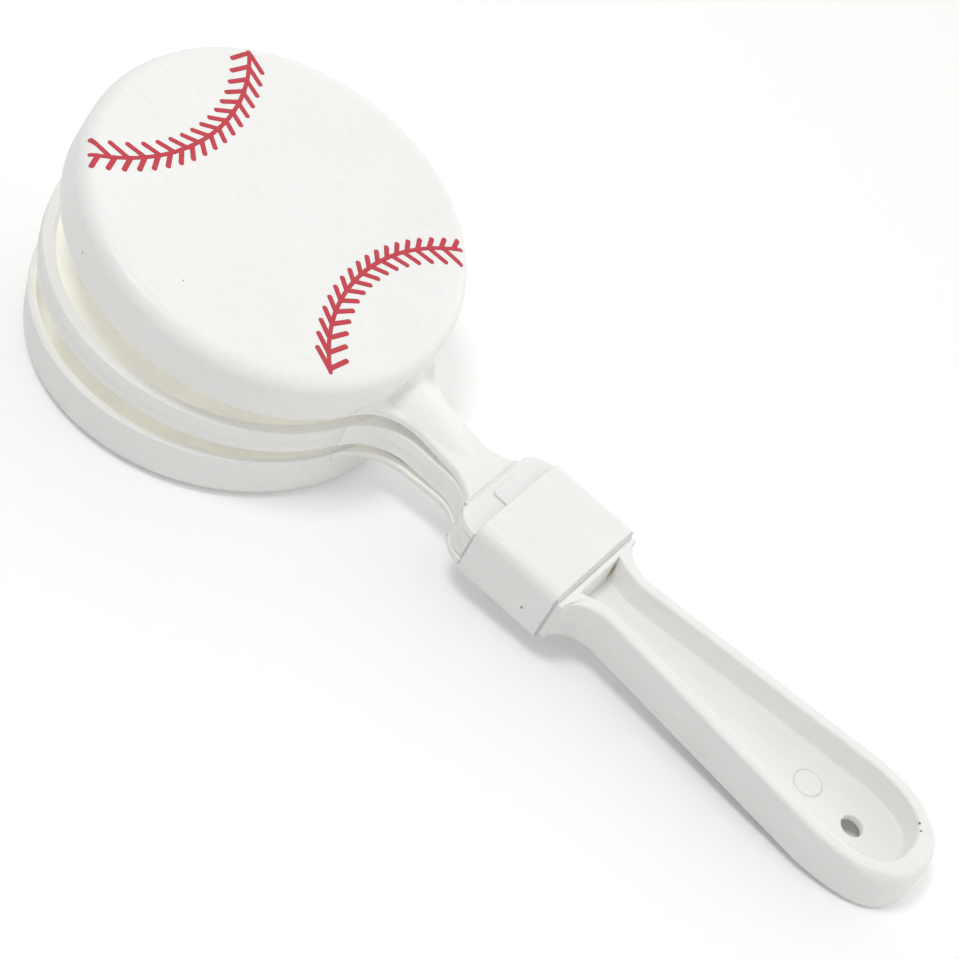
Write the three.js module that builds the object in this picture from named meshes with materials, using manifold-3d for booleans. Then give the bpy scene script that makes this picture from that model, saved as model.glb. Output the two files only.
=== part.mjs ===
// A hand clapper: a paddle whose round blade lies between two hollow round clappers.
// Each clapper hangs on a thin moulded film at the top of its tang, and a collar
// holds both tangs on the paddle. Shaking the handle makes the clappers slap the blade.
// The front clapper carries the two stitched seams of a ball as a red print.
//
// Lengths are in millimetres and angles in degrees. Every piece is drawn in the
// paddle's own frame: Z = 0 in the middle of its thickness, the blade's centre at
// X = Y = 0, and the handle towards -Y. The finished toy is then laid on a table.
import * as THREE from "three";
import { mergeVertices } from "three/addons/utils/BufferGeometryUtils.js";
import Module from "manifold-3d";

const wasm = await Module();
wasm.setup();

// Clearance between pieces that rest on each other
const clearance = 0.3;

// Blade of the paddle: a thin web inside a raised rim
const bladeRadius = 42;
const bladeThickness = 6;
const bladeRimWidth = 2.6;
const bladeWebThickness = 2;

// Neck, shared by the paddle and the neck plates of the clappers
const neckLength = 25.5;
const neckWaistWidth = 10.4;
const neckUpperFlareRadius = 13;
const neckLowerFlareLength = 7.5;
const hingeWidth = 17.6;

// Collar and the stretch of the paddle inside it
const shoulderLength = 6;
const coreWidth = 24.2;
const collarLength = 20.2;
const collarWall = 1.5;
const collarBoreRadius = 0.5;

// Handle: a web between two trays, inside a tall rim
const handleLength = 86.2;
const handleThickness = 10.6;
const handleShoulderStep = 0.7;
const handleShoulderLand = 1.8;
const handleFlareLength = 8;
const handleWaistWidth = 15.4;
const handleGripWidth = 26;
const handleEndLength = 20.2;
const handleEndFullness = 0.72;
const handleEdgeRadius = 0.7;
const handleRimWidth = 2.9;
const handleEndRimWidth = 5.1;
const handleWebThickness = 2;
const handleWebDrop = 0.8;
const trayEndWall = 2.7;
const hangingHoleRadius = 2.4;
const hangingHoleInset = 16.2;

// Clapper: a round cup, open towards the blade, with a flat face
const cupDepth = 11.5;
const cupDraft = 0.5;
const cupWall = 1.8;
const cupFaceThickness = 2;
const cupInnerEdgeRadius = 1.2;

// Neck plate of a clapper and the hollow hump that stiffens it: the top of a round bar
// that rises from the plate towards the cup
const plateThickness = 1.8;
const gussetTipGap = 6.2;
const gussetRadius = 6.5;
const gussetRiseAngle = 9.6;
const gussetWall = 1.8;

// Film hinge between a neck plate and its tang, part way up their thickness
const filmHeight = 0.9;
const filmThickness = 0.4;
const filmLength = 0.9;
const filmSeat = 0.1;
const grooveWidth = 0.6;

// Tang: the fixed end of a clapper, with a raised tongue that wedges the collar
const tongueWidth = 8;
const tongueHeight = 0.5;
const tongueTopGap = 2;
const tongueEndGap = 3.4;
const tongueCornerRadius = 0.9;

// Seam print on the front face
const seamRadius = 35;
const seamCentreOffset = 16.8;
const seamMargin = 0.5;
const seamTurn = 5;
const seamLineWidth = 0.8;
const stitchCount = 17;
const stitchLength = 4.6;
const stitchSlant = 45;
const printThickness = 0.1;
const printGap = 0.05;

// Opening of the front clapper as the toy lies on the table
const frontOpenAngle = 7.8;

// Steps of the round shapes, and how far a cutter runs past what it cuts
const roundSteps = 72;
const coneSteps = 40;
const curveSteps = 10;
const edgeSteps = 5;
const seamSteps = 18;
const stitchTipSteps = 3;
const cutMargin = 1;

const degrees = Math.PI / 180;
const hingeDistance = bladeRadius + neckLength;
const collarTop = -hingeDistance - shoulderLength;
const collarBottom = collarTop - collarLength;
const collarBoreWidth = coreWidth + 2 * clearance;
const collarWidth = collarBoreWidth + 2 * collarWall;
const handleTop = collarBottom - clearance;
const handleEnd = handleTop - handleLength;
const plateHeight = bladeThickness / 2 + clearance;
const hingeHeight = plateHeight + filmHeight + filmThickness / 2;
const tangHeight = plateHeight + plateThickness + tongueHeight;
const collarBoreDepth = 2 * (tangHeight + clearance);
const cupFaceRadius = bladeRadius - cupDraft;
const cupEdgeRadius = cupInnerEdgeRadius + cupWall;
const cupFlatRadius = cupFaceRadius - cupEdgeRadius;

// Makes a closed solid of a geometry, so that it can be joined and cut.
function solidOf(geometry) {
  const bare = geometry.clone();
  bare.deleteAttribute("normal");
  bare.deleteAttribute("uv");
  const merged = mergeVertices(bare, 1e-4);
  return new wasm.Manifold(
    new wasm.Mesh({
      numProp: 3,
      vertProperties: merged.attributes.position.array,
      triVerts: new Uint32Array(merged.index.array),
    }),
  );
}

// Names a finished solid and gives it its material.
function piece(name, solid, material) {
  const { vertProperties, triVerts } = solid.getMesh();
  const geometry = new THREE.BufferGeometry();
  geometry.setAttribute("position", new THREE.BufferAttribute(vertProperties, 3));
  geometry.setIndex(new THREE.BufferAttribute(triVerts, 1));
  geometry.computeVertexNormals();
  const mesh = new THREE.Mesh(geometry, material);
  mesh.name = name;
  return mesh;
}

// A slab with the given outline, between two heights.
function slab(shape, low, high) {
  const geometry = new THREE.ExtrudeGeometry(shape, {
    depth: high - low,
    bevelEnabled: false,
    curveSegments: curveSteps,
  });
  return solidOf(geometry.translate(0, 0, low));
}

// A closed outline, from its right-hand half and the mirror image of that half.
function mirroredShape(half) {
  const right = half.getPoints(curveSteps);
  const left = right
    .filter((point) => point.x > 1e-6)
    .map((point) => new THREE.Vector2(-point.x, point.y))
    .reverse();
  return new THREE.Shape([...right, ...left]);
}

// A box between two corners.
function block(low, high) {
  const size = new THREE.Vector3().subVectors(high, low);
  const centre = new THREE.Vector3().addVectors(low, high).multiplyScalar(0.5);
  const box = new THREE.BoxGeometry(size.x, size.y, size.z);
  return solidOf(box.translate(centre.x, centre.y, centre.z));
}

// A solid of revolution about the Z axis, from a profile of radius and height.
function turned(profile) {
  const points = profile.map(([radius, height]) => new THREE.Vector2(radius, height));
  return solidOf(new THREE.LatheGeometry(points, roundSteps).rotateX(Math.PI / 2));
}

// A rectangle about the origin with round corners.
function roundedRectangle(width, height, radius) {
  const x = width / 2 - radius;
  const y = height / 2 - radius;
  const shape = new THREE.Shape();
  shape.absarc(x, y, radius, 0, Math.PI / 2, false);
  shape.absarc(-x, y, radius, Math.PI / 2, Math.PI, false);
  shape.absarc(-x, -y, radius, Math.PI, 1.5 * Math.PI, false);
  shape.absarc(x, -y, radius, 1.5 * Math.PI, 2 * Math.PI, false);
  return shape;
}

// The right-hand edge of the neck, from inside the disc down to the hinge line: an
// arc that leaves the disc at a tangent, a straight waist, and an arc that widens
// to the width of the hinge.
function neckEdge(path) {
  const waist = neckWaistWidth / 2;
  const reach = bladeRadius + neckUpperFlareRadius;
  const flareX = waist + neckUpperFlareRadius;
  const flareY = -Math.sqrt(reach ** 2 - flareX ** 2);
  const meetX = (flareX * bladeRadius) / reach;
  const meetY = (flareY * bladeRadius) / reach;
  const widening = hingeWidth / 2 - waist;
  const lowerRadius = (widening ** 2 + neckLowerFlareLength ** 2) / (2 * widening);
  const lowerAngle = Math.asin(neckLowerFlareLength / lowerRadius);
  path.moveTo(0, meetY + bladeRimWidth);
  path.lineTo(meetX, meetY + bladeRimWidth);
  path.absarc(
    flareX, flareY, neckUpperFlareRadius,
    Math.atan2(-flareY, -flareX), Math.PI, false,
  );
  path.absarc(
    waist + lowerRadius, -hingeDistance + neckLowerFlareLength, lowerRadius,
    Math.PI, Math.PI + lowerAngle, false,
  );
}

// The round shoulder between the hinge line and the collar, flush with its outside.
function shoulderEdge(path) {
  path.absellipse(
    hingeWidth / 2, collarTop + clearance,
    (collarWidth - hingeWidth) / 2, shoulderLength - clearance,
    Math.PI / 2, 0, true, 0,
  );
}

// The right-hand edge of the handle, moved inwards by one distance at its sides and by
// another at its end: a short land at the shoulder, a hollow flare to the waist, a
// straight side that widens towards the grip, and a full round end.
function handleEdge(path, inset, endInset) {
  const shoulder = collarWidth / 2 - handleShoulderStep - inset;
  const waist = handleWaistWidth / 2 - inset;
  const grip = handleGripWidth / 2 - inset;
  const flareTop = handleTop - handleShoulderLand;
  const gripBottom = handleEnd + handleEndLength;
  const end = handleEnd + endInset;
  path.moveTo(0, handleTop);
  path.lineTo(shoulder, handleTop);
  path.lineTo(shoulder, flareTop);
  path.absellipse(
    shoulder, flareTop - handleFlareLength,
    shoulder - waist, handleFlareLength,
    Math.PI / 2, Math.PI, false, 0,
  );
  path.lineTo(grip, gripBottom);
  path.bezierCurveTo(
    grip, gripBottom + handleEndFullness * (end - gripBottom),
    handleEndFullness * grip, end,
    0, end,
  );
}

// The blade: a web with a raised rim on both sides.
function blade() {
  const rim = bladeThickness / 2;
  const web = bladeWebThickness / 2;
  const inner = bladeRadius - bladeRimWidth;
  return turned([
    [0, -web], [inner, -web], [inner, -rim], [bladeRadius, -rim],
    [bladeRadius, rim], [inner, rim], [inner, web], [0, web],
  ]);
}

// The neck, the shoulders and the core that the collar closes round.
function neckAndCore() {
  const half = new THREE.Path();
  neckEdge(half);
  shoulderEdge(half);
  half.lineTo(coreWidth / 2, collarTop + clearance);
  half.lineTo(coreWidth / 2, handleTop - clearance);
  half.lineTo(0, handleTop - clearance);
  const rim = bladeThickness / 2;
  const inner = bladeRadius - bladeRimWidth;
  const insideBlade = turned([
    [0, -rim - cutMargin], [inner, -rim - cutMargin],
    [inner, rim + cutMargin], [0, rim + cutMargin],
  ]);
  return slab(mirroredShape(half), -rim, rim).subtract(insideBlade);
}

// The handle: its soft-edged outline less a tray on each side and the hanging hole.
function handle() {
  const half = new THREE.Path();
  handleEdge(half, 0, 0);
  const body = solidOf(
    new THREE.ExtrudeGeometry(mirroredShape(half), {
      depth: handleThickness - 2 * handleEdgeRadius,
      bevelThickness: handleEdgeRadius,
      bevelSize: handleEdgeRadius,
      bevelOffset: -handleEdgeRadius,
      bevelSegments: 2,
    }).translate(0, 0, -handleThickness / 2 + handleEdgeRadius),
  );
  const trayHalf = new THREE.Path();
  handleEdge(trayHalf, handleRimWidth, handleEndRimWidth);
  const trayShape = mirroredShape(trayHalf);
  const trayRoom = block(
    new THREE.Vector3(-handleGripWidth, handleEnd, -handleThickness),
    new THREE.Vector3(handleGripWidth, handleTop - trayEndWall, handleThickness),
  );
  const webTop = -handleWebDrop;
  const webBottom = webTop - handleWebThickness;
  const frontTray = slab(trayShape, webTop, handleThickness).intersect(trayRoom);
  const rearTray = slab(trayShape, -handleThickness, webBottom).intersect(trayRoom);
  const hole = solidOf(
    new THREE.CylinderGeometry(hangingHoleRadius, hangingHoleRadius, handleThickness, coneSteps)
      .rotateX(Math.PI / 2)
      .translate(0, handleEnd + hangingHoleInset, 0),
  );
  return body.subtract(frontTray).subtract(rearTray).subtract(hole);
}

// The collar: a sleeve with rounded long edges and a rectangular bore.
function collar() {
  const outline = roundedRectangle(
    collarWidth,
    collarBoreDepth + 2 * collarWall,
    collarBoreRadius + collarWall,
  );
  outline.holes.push(roundedRectangle(collarBoreWidth, collarBoreDepth, collarBoreRadius));
  const sleeve = new THREE.ExtrudeGeometry(outline, {
    depth: collarLength,
    bevelEnabled: false,
    curveSegments: edgeSteps,
  });
  return solidOf(sleeve.rotateX(Math.PI / 2).translate(0, collarTop, 0));
}

// The room between a neck plate and its tang, where the hinge bends.
function hingeGroove() {
  return block(
    new THREE.Vector3(-hingeWidth, -hingeDistance - grooveWidth / 2, -cutMargin),
    new THREE.Vector3(hingeWidth, -hingeDistance + grooveWidth / 2, plateThickness + cutMargin),
  );
}

// The profile of a cup's outside, or of its hollow when it is drawn smaller. It
// starts at the given height, and a round edge leads from the wall to the face.
function cupProfile(start, rimRadius, faceRadius, depth, edgeRadius) {
  const points = [[0, start], [rimRadius, start]];
  for (let step = 0; step <= edgeSteps; step += 1) {
    const angle = (step / edgeSteps) * (Math.PI / 2);
    points.push([
      faceRadius - edgeRadius + edgeRadius * Math.cos(angle),
      depth - edgeRadius + edgeRadius * Math.sin(angle),
    ]);
  }
  points.push([0, depth]);
  return points;
}

// The round bar that the hump on the neck plate is the top of, between two heights and
// up to its base. An inset makes it that much thinner, for the hollow under the hump.
function gusset(inset, low, base) {
  const tip = -hingeDistance + gussetTipGap;
  const radius = gussetRadius - inset;
  const bar = new THREE.CylinderGeometry(radius, radius, 2 * bladeRadius, coneSteps)
    .translate(0, 0, -gussetRadius)
    .rotateX(gussetRiseAngle * degrees)
    .translate(0, tip, plateThickness);
  const room = block(
    new THREE.Vector3(-gussetRadius - cutMargin, tip - neckLength, low),
    new THREE.Vector3(gussetRadius + cutMargin, base, cupDepth),
  );
  return solidOf(bar).intersect(room);
}

// A clapper: cup, neck plate and gusset, lying on Z = 0 with its face upwards.
function clapper() {
  const half = new THREE.Path();
  neckEdge(half);
  half.lineTo(0, -hingeDistance);
  const outside = cupProfile(0, bladeRadius, cupFaceRadius, cupDepth, cupEdgeRadius);
  const hollow = cupProfile(
    -cutMargin,
    bladeRadius - cupWall,
    cupFaceRadius - cupWall,
    cupDepth - cupFaceThickness,
    cupInnerEdgeRadius,
  );
  const underside = block(
    new THREE.Vector3(-bladeRadius, -hingeDistance, -cupDepth),
    new THREE.Vector3(bladeRadius, 0, 0),
  );
  return turned(outside)
    .add(slab(mirroredShape(half), 0, plateThickness))
    .add(gusset(0, plateThickness / 2, -bladeRadius + cupWall))
    .subtract(underside)
    .subtract(turned(hollow))
    .subtract(gusset(gussetWall, -cutMargin, -bladeRadius))
    .subtract(hingeGroove());
}

// A tang: the flat tail of a clapper's moulding, which the collar holds on the core.
function tang() {
  const end = collarBottom + clearance;
  const half = new THREE.Path();
  half.moveTo(0, -hingeDistance);
  shoulderEdge(half);
  half.lineTo(coreWidth / 2, collarTop + clearance);
  half.lineTo(coreWidth / 2, end);
  half.lineTo(0, end);
  const tongueTop = -hingeDistance - tongueTopGap;
  const tongueBottom = end + tongueEndGap;
  const tongue = slab(
    roundedRectangle(tongueWidth, tongueTop - tongueBottom, tongueCornerRadius),
    plateThickness / 2,
    plateThickness + tongueHeight,
  ).translate([0, (tongueTop + tongueBottom) / 2, 0]);
  const filmRebate = block(
    new THREE.Vector3(-collarWidth, -hingeDistance - filmLength - filmSeat, filmHeight - filmSeat),
    new THREE.Vector3(collarWidth, 0, filmHeight + filmThickness + filmSeat),
  );
  return slab(mirroredShape(half), 0, plateThickness)
    .add(tongue)
    .subtract(filmRebate)
    .subtract(hingeGroove());
}

// The film that bends: a thin strip from inside the tang to the hinge line.
function hingeFilm() {
  return block(
    new THREE.Vector3(-hingeWidth / 2, -hingeDistance - filmLength, filmHeight),
    new THREE.Vector3(hingeWidth / 2, -hingeDistance, filmHeight + filmThickness),
  );
}

// One stitch of the print: a bar from its square end to its round tip.
function printStitch(from, tip) {
  const half = seamLineWidth / 2;
  const shape = new THREE.Shape();
  shape.moveTo(0, half);
  shape.lineTo(0, -half);
  shape.absarc(from.distanceTo(tip), 0, half, -Math.PI / 2, Math.PI / 2, false);
  const bar = new THREE.ExtrudeGeometry(shape, {
    depth: printThickness,
    bevelEnabled: false,
    curveSegments: stitchTipSteps,
  });
  const direction = Math.atan2(tip.y - from.y, tip.x - from.x);
  return solidOf(bar.rotateZ(direction).translate(from.x, from.y, 0));
}

// A seam: an arc that bulges towards the middle of the face and ends near the edge
// of its flat, with V stitches along it.
function seamPrint() {
  const centre = cupFlatRadius + seamCentreOffset;
  const reach = cupFlatRadius - seamMargin;
  const halfAngle = Math.acos(
    (centre ** 2 + seamRadius ** 2 - reach ** 2) / (2 * centre * seamRadius),
  );
  const left = -Math.PI / 2 - halfAngle;
  const right = -Math.PI / 2 + halfAngle;
  const line = new THREE.Shape();
  line.absarc(0, centre, seamRadius + seamLineWidth / 2, left, right, false);
  line.absarc(0, centre, seamRadius - seamLineWidth / 2, right, left, true);
  const lineGeometry = new THREE.ExtrudeGeometry(line, {
    depth: printThickness,
    bevelEnabled: false,
    curveSegments: seamSteps,
  });
  let print = solidOf(lineGeometry);
  const onSeam = (angle, radius) =>
    new THREE.Vector2(radius * Math.sin(angle), centre - radius * Math.cos(angle));
  const along = (stitchLength * Math.cos(stitchSlant * degrees)) / seamRadius;
  const aside = stitchLength * Math.sin(stitchSlant * degrees);
  const pitch = (2 * halfAngle) / stitchCount;
  for (let stitch = 1; stitch <= stitchCount; stitch += 1) {
    const apex = stitch * pitch - halfAngle - seamLineWidth / 2 / seamRadius;
    for (const side of [-1, 1]) {
      const tip = onSeam(apex - along, seamRadius + side * aside);
      print = print.add(printStitch(onSeam(apex, seamRadius), tip));
    }
  }
  return print;
}

// Materials
const whitePlastic = () =>
  new THREE.MeshStandardMaterial({ color: 0xf1f1ef, roughness: 0.35, metalness: 0 });
const redInk = () =>
  new THREE.MeshStandardMaterial({ color: 0xc14652, roughness: 0.5, metalness: 0 });

// A clapper with its film and tang on one side of the paddle. The flap turns about
// the hinge line, and is closed on the blade where its opening is 0.
function clapperSide(side, opening, prints) {
  const flap = new THREE.Group();
  flap.add(piece(side + "_clapper", clapper(), whitePlastic()));
  for (const print of prints) {
    print.position.z = cupDepth + printGap;
    flap.add(print);
  }
  flap.children.forEach((child) => {
    child.position.y += hingeDistance;
    child.position.z += plateHeight - hingeHeight;
  });
  flap.position.set(0, -hingeDistance, hingeHeight);
  flap.rotation.x = opening;

  const fixed = new THREE.Group();
  fixed.add(piece(side + "_hinge_film", hingeFilm(), whitePlastic()));
  fixed.add(piece(side + "_tang", tang(), whitePlastic()));
  fixed.position.z = plateHeight;

  const group = new THREE.Group();
  group.add(flap, fixed);
  return group;
}

// The toy lies on the rear clapper's face and the end of its handle, which sets how
// far the rear clapper is open: the handle's low end is as far down as that face.
const faceDrop = cupDepth + plateHeight - hingeHeight;
const endReach = -handleEnd - handleEdgeRadius - hingeDistance;
const endDrop = handleThickness / 2 - hingeHeight;
const rearOpening =
  Math.asin(faceDrop / Math.hypot(endReach, endDrop)) - Math.atan2(endDrop, endReach);

const upperSeam = piece("upper_seam_print", seamPrint(), redInk());
upperSeam.rotation.z = seamTurn * degrees;
const lowerSeam = piece("lower_seam_print", seamPrint(), redInk());
lowerSeam.rotation.z = Math.PI + seamTurn * degrees;

const toy = new THREE.Group();
toy.add(piece("centre_paddle", blade().add(neckAndCore()).add(handle()), whitePlastic()));
toy.add(piece("collar", collar(), whitePlastic()));
toy.add(clapperSide("front", frontOpenAngle * degrees, [upperSeam, lowerSeam]));
const rearSide = clapperSide("rear", rearOpening, []);
rearSide.rotation.y = Math.PI;
toy.add(rearSide);
toy.rotation.x = rearOpening;

// The origin is the middle of the underside of the box that the toy fills.
const handClapper = new THREE.Group();
handClapper.add(toy);
const bounds = new THREE.Box3().setFromObject(handClapper, true);
toy.position.set(
  -(bounds.min.x + bounds.max.x) / 2,
  -(bounds.min.y + bounds.max.y) / 2,
  -bounds.min.z,
);

export default handClapper;
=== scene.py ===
# A white hand clapper lying on a pale table, seen from above on its left.
import math

import bmesh
import bpy
import numpy as np
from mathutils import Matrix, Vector


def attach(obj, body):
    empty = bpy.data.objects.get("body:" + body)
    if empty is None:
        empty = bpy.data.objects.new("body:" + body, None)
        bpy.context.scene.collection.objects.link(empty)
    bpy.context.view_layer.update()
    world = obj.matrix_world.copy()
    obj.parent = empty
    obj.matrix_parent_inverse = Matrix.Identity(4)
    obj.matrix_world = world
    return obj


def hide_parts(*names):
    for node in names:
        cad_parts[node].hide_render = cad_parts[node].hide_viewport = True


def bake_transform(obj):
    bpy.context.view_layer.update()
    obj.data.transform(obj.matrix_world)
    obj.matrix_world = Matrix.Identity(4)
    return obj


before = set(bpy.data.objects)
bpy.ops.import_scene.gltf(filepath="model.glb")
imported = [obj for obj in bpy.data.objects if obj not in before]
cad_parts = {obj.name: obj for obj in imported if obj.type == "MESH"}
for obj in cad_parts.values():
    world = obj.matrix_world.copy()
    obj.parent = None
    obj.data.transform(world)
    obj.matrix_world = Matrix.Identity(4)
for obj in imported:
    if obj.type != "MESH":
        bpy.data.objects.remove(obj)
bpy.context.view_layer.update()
scene = bpy.context.scene


# Camera: fitted to the photograph's view of the discs, the collar and the handle, with
# no shift and no depth of field.
camera_data = bpy.data.cameras.new("camera")
camera_data.lens = 92.853
camera_data.sensor_width = 36.0
camera = bpy.data.objects.new("camera", camera_data)
camera.location = (-0.32419, -0.116612, 0.368673)
camera.rotation_euler = [math.radians(angle) for angle in (42.116, -16.1636, -52.5028)]
scene.collection.objects.link(camera)
scene.camera = camera
scene.view_settings.view_transform = "Standard"


# Floor: a plain white table top, far wider than the toy. It looks white to the camera,
# and sends a softer light back to the toy.
floor_reach = 3.0
floor_white = 0.95
floor_bounce = 0.86
floor_lift = 0.1
floor_mesh = bpy.data.meshes.new("floor")
floor_mesh.from_pydata(
    [(floor_reach * x, floor_reach * y, 0) for x, y in ((-1, -1), (1, -1), (1, 1), (-1, 1))],
    [],
    [(0, 1, 2, 3)],
)
floor = bpy.data.objects.new("floor", floor_mesh)
scene.collection.objects.link(floor)


def new_material(name):
    """A material with nodes, given with its tree and its Principled shader."""
    material = bpy.data.materials.new(name)
    material.use_nodes = True
    return material, material.node_tree, material.node_tree.nodes["Principled BSDF"]


def add_node(tree, kind, settings=None, links=None, values=None):
    """Adds a node, sets its properties, links its inputs and sets its other inputs."""
    node = tree.nodes.new(kind)
    for key, value in (settings or {}).items():
        setattr(node, key, value)
    for key, value in (values or {}).items():
        node.inputs[key].default_value = value
    for key, source in (links or {}).items():
        tree.links.new(source, node.inputs[key])
    return node


table_top, floor_tree, floor_shader = new_material("table_top")
floor_rays = add_node(floor_tree, "ShaderNodeLightPath")
floor_tone = add_node(
    floor_tree, "ShaderNodeMapRange", links={"Value": floor_rays.outputs["Is Camera Ray"]},
    values={"To Min": floor_bounce, "To Max": floor_white},
)
floor_glow = add_node(
    floor_tree, "ShaderNodeMath", settings={"operation": "MULTIPLY"},
    links={0: floor_rays.outputs["Is Camera Ray"]}, values={1: floor_lift},
)
floor_tree.links.new(floor_tone.outputs[0], floor_shader.inputs["Base Color"])
floor_tree.links.new(floor_glow.outputs[0], floor_shader.inputs["Emission Strength"])
floor_shader.inputs["Emission Color"].default_value = (1, 1, 1, 1)
floor_shader.inputs["Roughness"].default_value = 0.9
floor_shader.inputs["Specular IOR Level"].default_value = 0.0
floor_mesh.materials.append(table_top)


# Light: a bright white room, darker overhead and towards the toy's left, and a soft lamp
# high above the toy's far left. The camera and the gloss see the room as plain white.
room_at_horizon = 1.08
room_overhead = 0.52
bright_side = 1.62
dark_side = 0.36
toward_dark_side = (-0.9, 0.43, 0.0)
lamp_place = Vector((-0.32, 0.24, 1.15))
lamp_target = Vector((0.0, 0.0, 0.02))
world = bpy.data.worlds.new("studio")
world.use_nodes = True
world_tree = world.node_tree
world_shader = world_tree.nodes["Background"]
world_shader.inputs["Color"].default_value = (1, 0.997, 0.982, 1)
direction = add_node(world_tree, "ShaderNodeTexCoord").outputs["Generated"]
height = add_node(world_tree, "ShaderNodeSeparateXYZ", links={0: direction}).outputs["Z"]
room = add_node(
    world_tree, "ShaderNodeMapRange", links={"Value": height},
    values={"From Min": 0.0, "From Max": 1.0, "To Min": room_at_horizon, "To Max": room_overhead},
)
toward_dark = add_node(
    world_tree, "ShaderNodeVectorMath", settings={"operation": "DOT_PRODUCT"},
    links={0: direction}, values={1: toward_dark_side},
)
side_share = add_node(
    world_tree, "ShaderNodeMapRange", links={"Value": toward_dark.outputs["Value"]},
    values={"From Min": -1.0, "From Max": 1.0, "To Min": bright_side, "To Max": dark_side},
)
shaded_room = add_node(
    world_tree, "ShaderNodeMath", settings={"operation": "MULTIPLY"},
    links={0: room.outputs[0], 1: side_share.outputs[0]},
)
world_rays = add_node(world_tree, "ShaderNodeLightPath")
seen_or_glossy = add_node(
    world_tree, "ShaderNodeMath", settings={"operation": "MAXIMUM"},
    links={0: world_rays.outputs["Is Camera Ray"], 1: world_rays.outputs["Is Glossy Ray"]},
)
seen = add_node(
    world_tree, "ShaderNodeMath", settings={"operation": "MAXIMUM"},
    links={0: seen_or_glossy.outputs[0], 1: world_rays.outputs["Is Transmission Ray"]},
)
strength = add_node(
    world_tree, "ShaderNodeMix", settings={"data_type": "FLOAT"},
    links={0: seen.outputs[0], 2: shaded_room.outputs[0]}, values={3: 1.0},
)
world_tree.links.new(strength.outputs[0], world_shader.inputs["Strength"])
scene.world = world
lamp_data = bpy.data.lights.new("key_lamp", "AREA")
lamp_data.shape = "SQUARE"
lamp_data.size = 0.3
lamp_data.energy = 4.4
lamp = bpy.data.objects.new("key_lamp", lamp_data)
lamp.location = lamp_place
lamp.rotation_euler = (lamp_target - lamp_place).to_track_quat("-Z", "Y").to_euler()
scene.collection.objects.link(lamp)


# Centre paddle: the toy's backbone, one white polypropylene moulding of a blade, a neck,
# a core and a handle. The other mouldings lie on its two sides.

# It is drawn in millimetres in its own frame, with Z = 0 in the middle of its thickness,
# the blade's centre at X = Y = 0 and the handle towards -Y, and leans as it lies.
lean = math.radians(4.867423)
paddle_lift = (0, 68.661843, 20.511535)


def turned_about_x(points, angle):
    """The points after a turn about the X axis by one angle, or by one for each point."""
    x, y, z = points.T
    return np.stack(
        [x, np.cos(angle) * y - np.sin(angle) * z, np.sin(angle) * y + np.cos(angle) * z], axis=-1
    )


def on_table(points):
    """From the paddle's frame in millimetres to the table's frame in metres."""
    return (turned_about_x(points, lean) + paddle_lift) / 1000


# The paddle's plastic, which all the mouldings are made of.
plastic_tones = ((0.875, 0.875, 0.865), (0.90, 0.90, 0.892))
# A beige tint of dust and painted shade for the hollows, and a painted glow of light that brightens
# them.
dust_and_shade_tone = (0.87, 0.86, 0.81, 1)
painted_hollow_glow = (0.14, 0.139, 0.128, 1)
stain_tone = (0.5, 0.42, 0.28, 1)
stain_place = (0.00645, -0.02728, 0.00175)
stain_flatten = (1.0, 1.0, 0.12)
specks = (
    ((0.00651, -0.10446, 0.01109), 0.28, (0.16, 0.14, 0.11, 1)),
    ((0.0052, -0.10563, 0.01099), 0.22, (0.2, 0.18, 0.14, 1)),
    ((-0.0139, -0.01992, 0.01117), 0.26, (0.2, 0.19, 0.17, 1)),
    ((-0.03112, 0.0631, 0.04378), 0.17, (0.35, 0.34, 0.32, 1)),
    ((-0.0388, 0.08162, 0.04066), 0.22, (0.25, 0.24, 0.22, 1)),
)


def ramp(tree, source, stops):
    """A colour ramp with stops of (position, grey or colour)."""
    node = add_node(tree, "ShaderNodeValToRGB", links={"Fac": source})
    elements = node.color_ramp.elements
    while len(elements) < len(stops):
        elements.new(0.5)
    for element, (position, colour) in zip(elements, stops):
        element.position = position
        element.color = (*colour, 1) if isinstance(colour, tuple) else (colour,) * 3 + (1,)
    return node


def mixed_colour(tree, share, first, second, blend="MIX"):
    """The blend of two colours, each a socket or a fixed colour, by a share, a socket or
    a fixed number."""
    node = add_node(tree, "ShaderNodeMix", settings={"data_type": "RGBA", "blend_type": blend})
    for key, value in ((0, share), (6, first), (7, second)):
        if isinstance(value, (tuple, float)):
            node.inputs[key].default_value = value
        else:
            tree.links.new(value, node.inputs[key])
    return node.outputs[2]


def spotted(tree, base, place, centre, size, tone):
    """The base colour with a soft round spot, whose share falls with the distance from
    its centre."""
    away = add_node(
        tree, "ShaderNodeVectorMath", settings={"operation": "DISTANCE"},
        links={0: place}, values={1: centre},
    )
    share = add_node(
        tree, "ShaderNodeMapRange", settings={"interpolation_type": "SMOOTHSTEP"},
        links={"Value": away.outputs["Value"]},
        values={"From Min": 0.0007 * size, "From Max": 0.0015 * size, "To Min": 1.0, "To Max": 0.0},
    )
    return mixed_colour(tree, share.outputs[0], base, tone)


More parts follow.
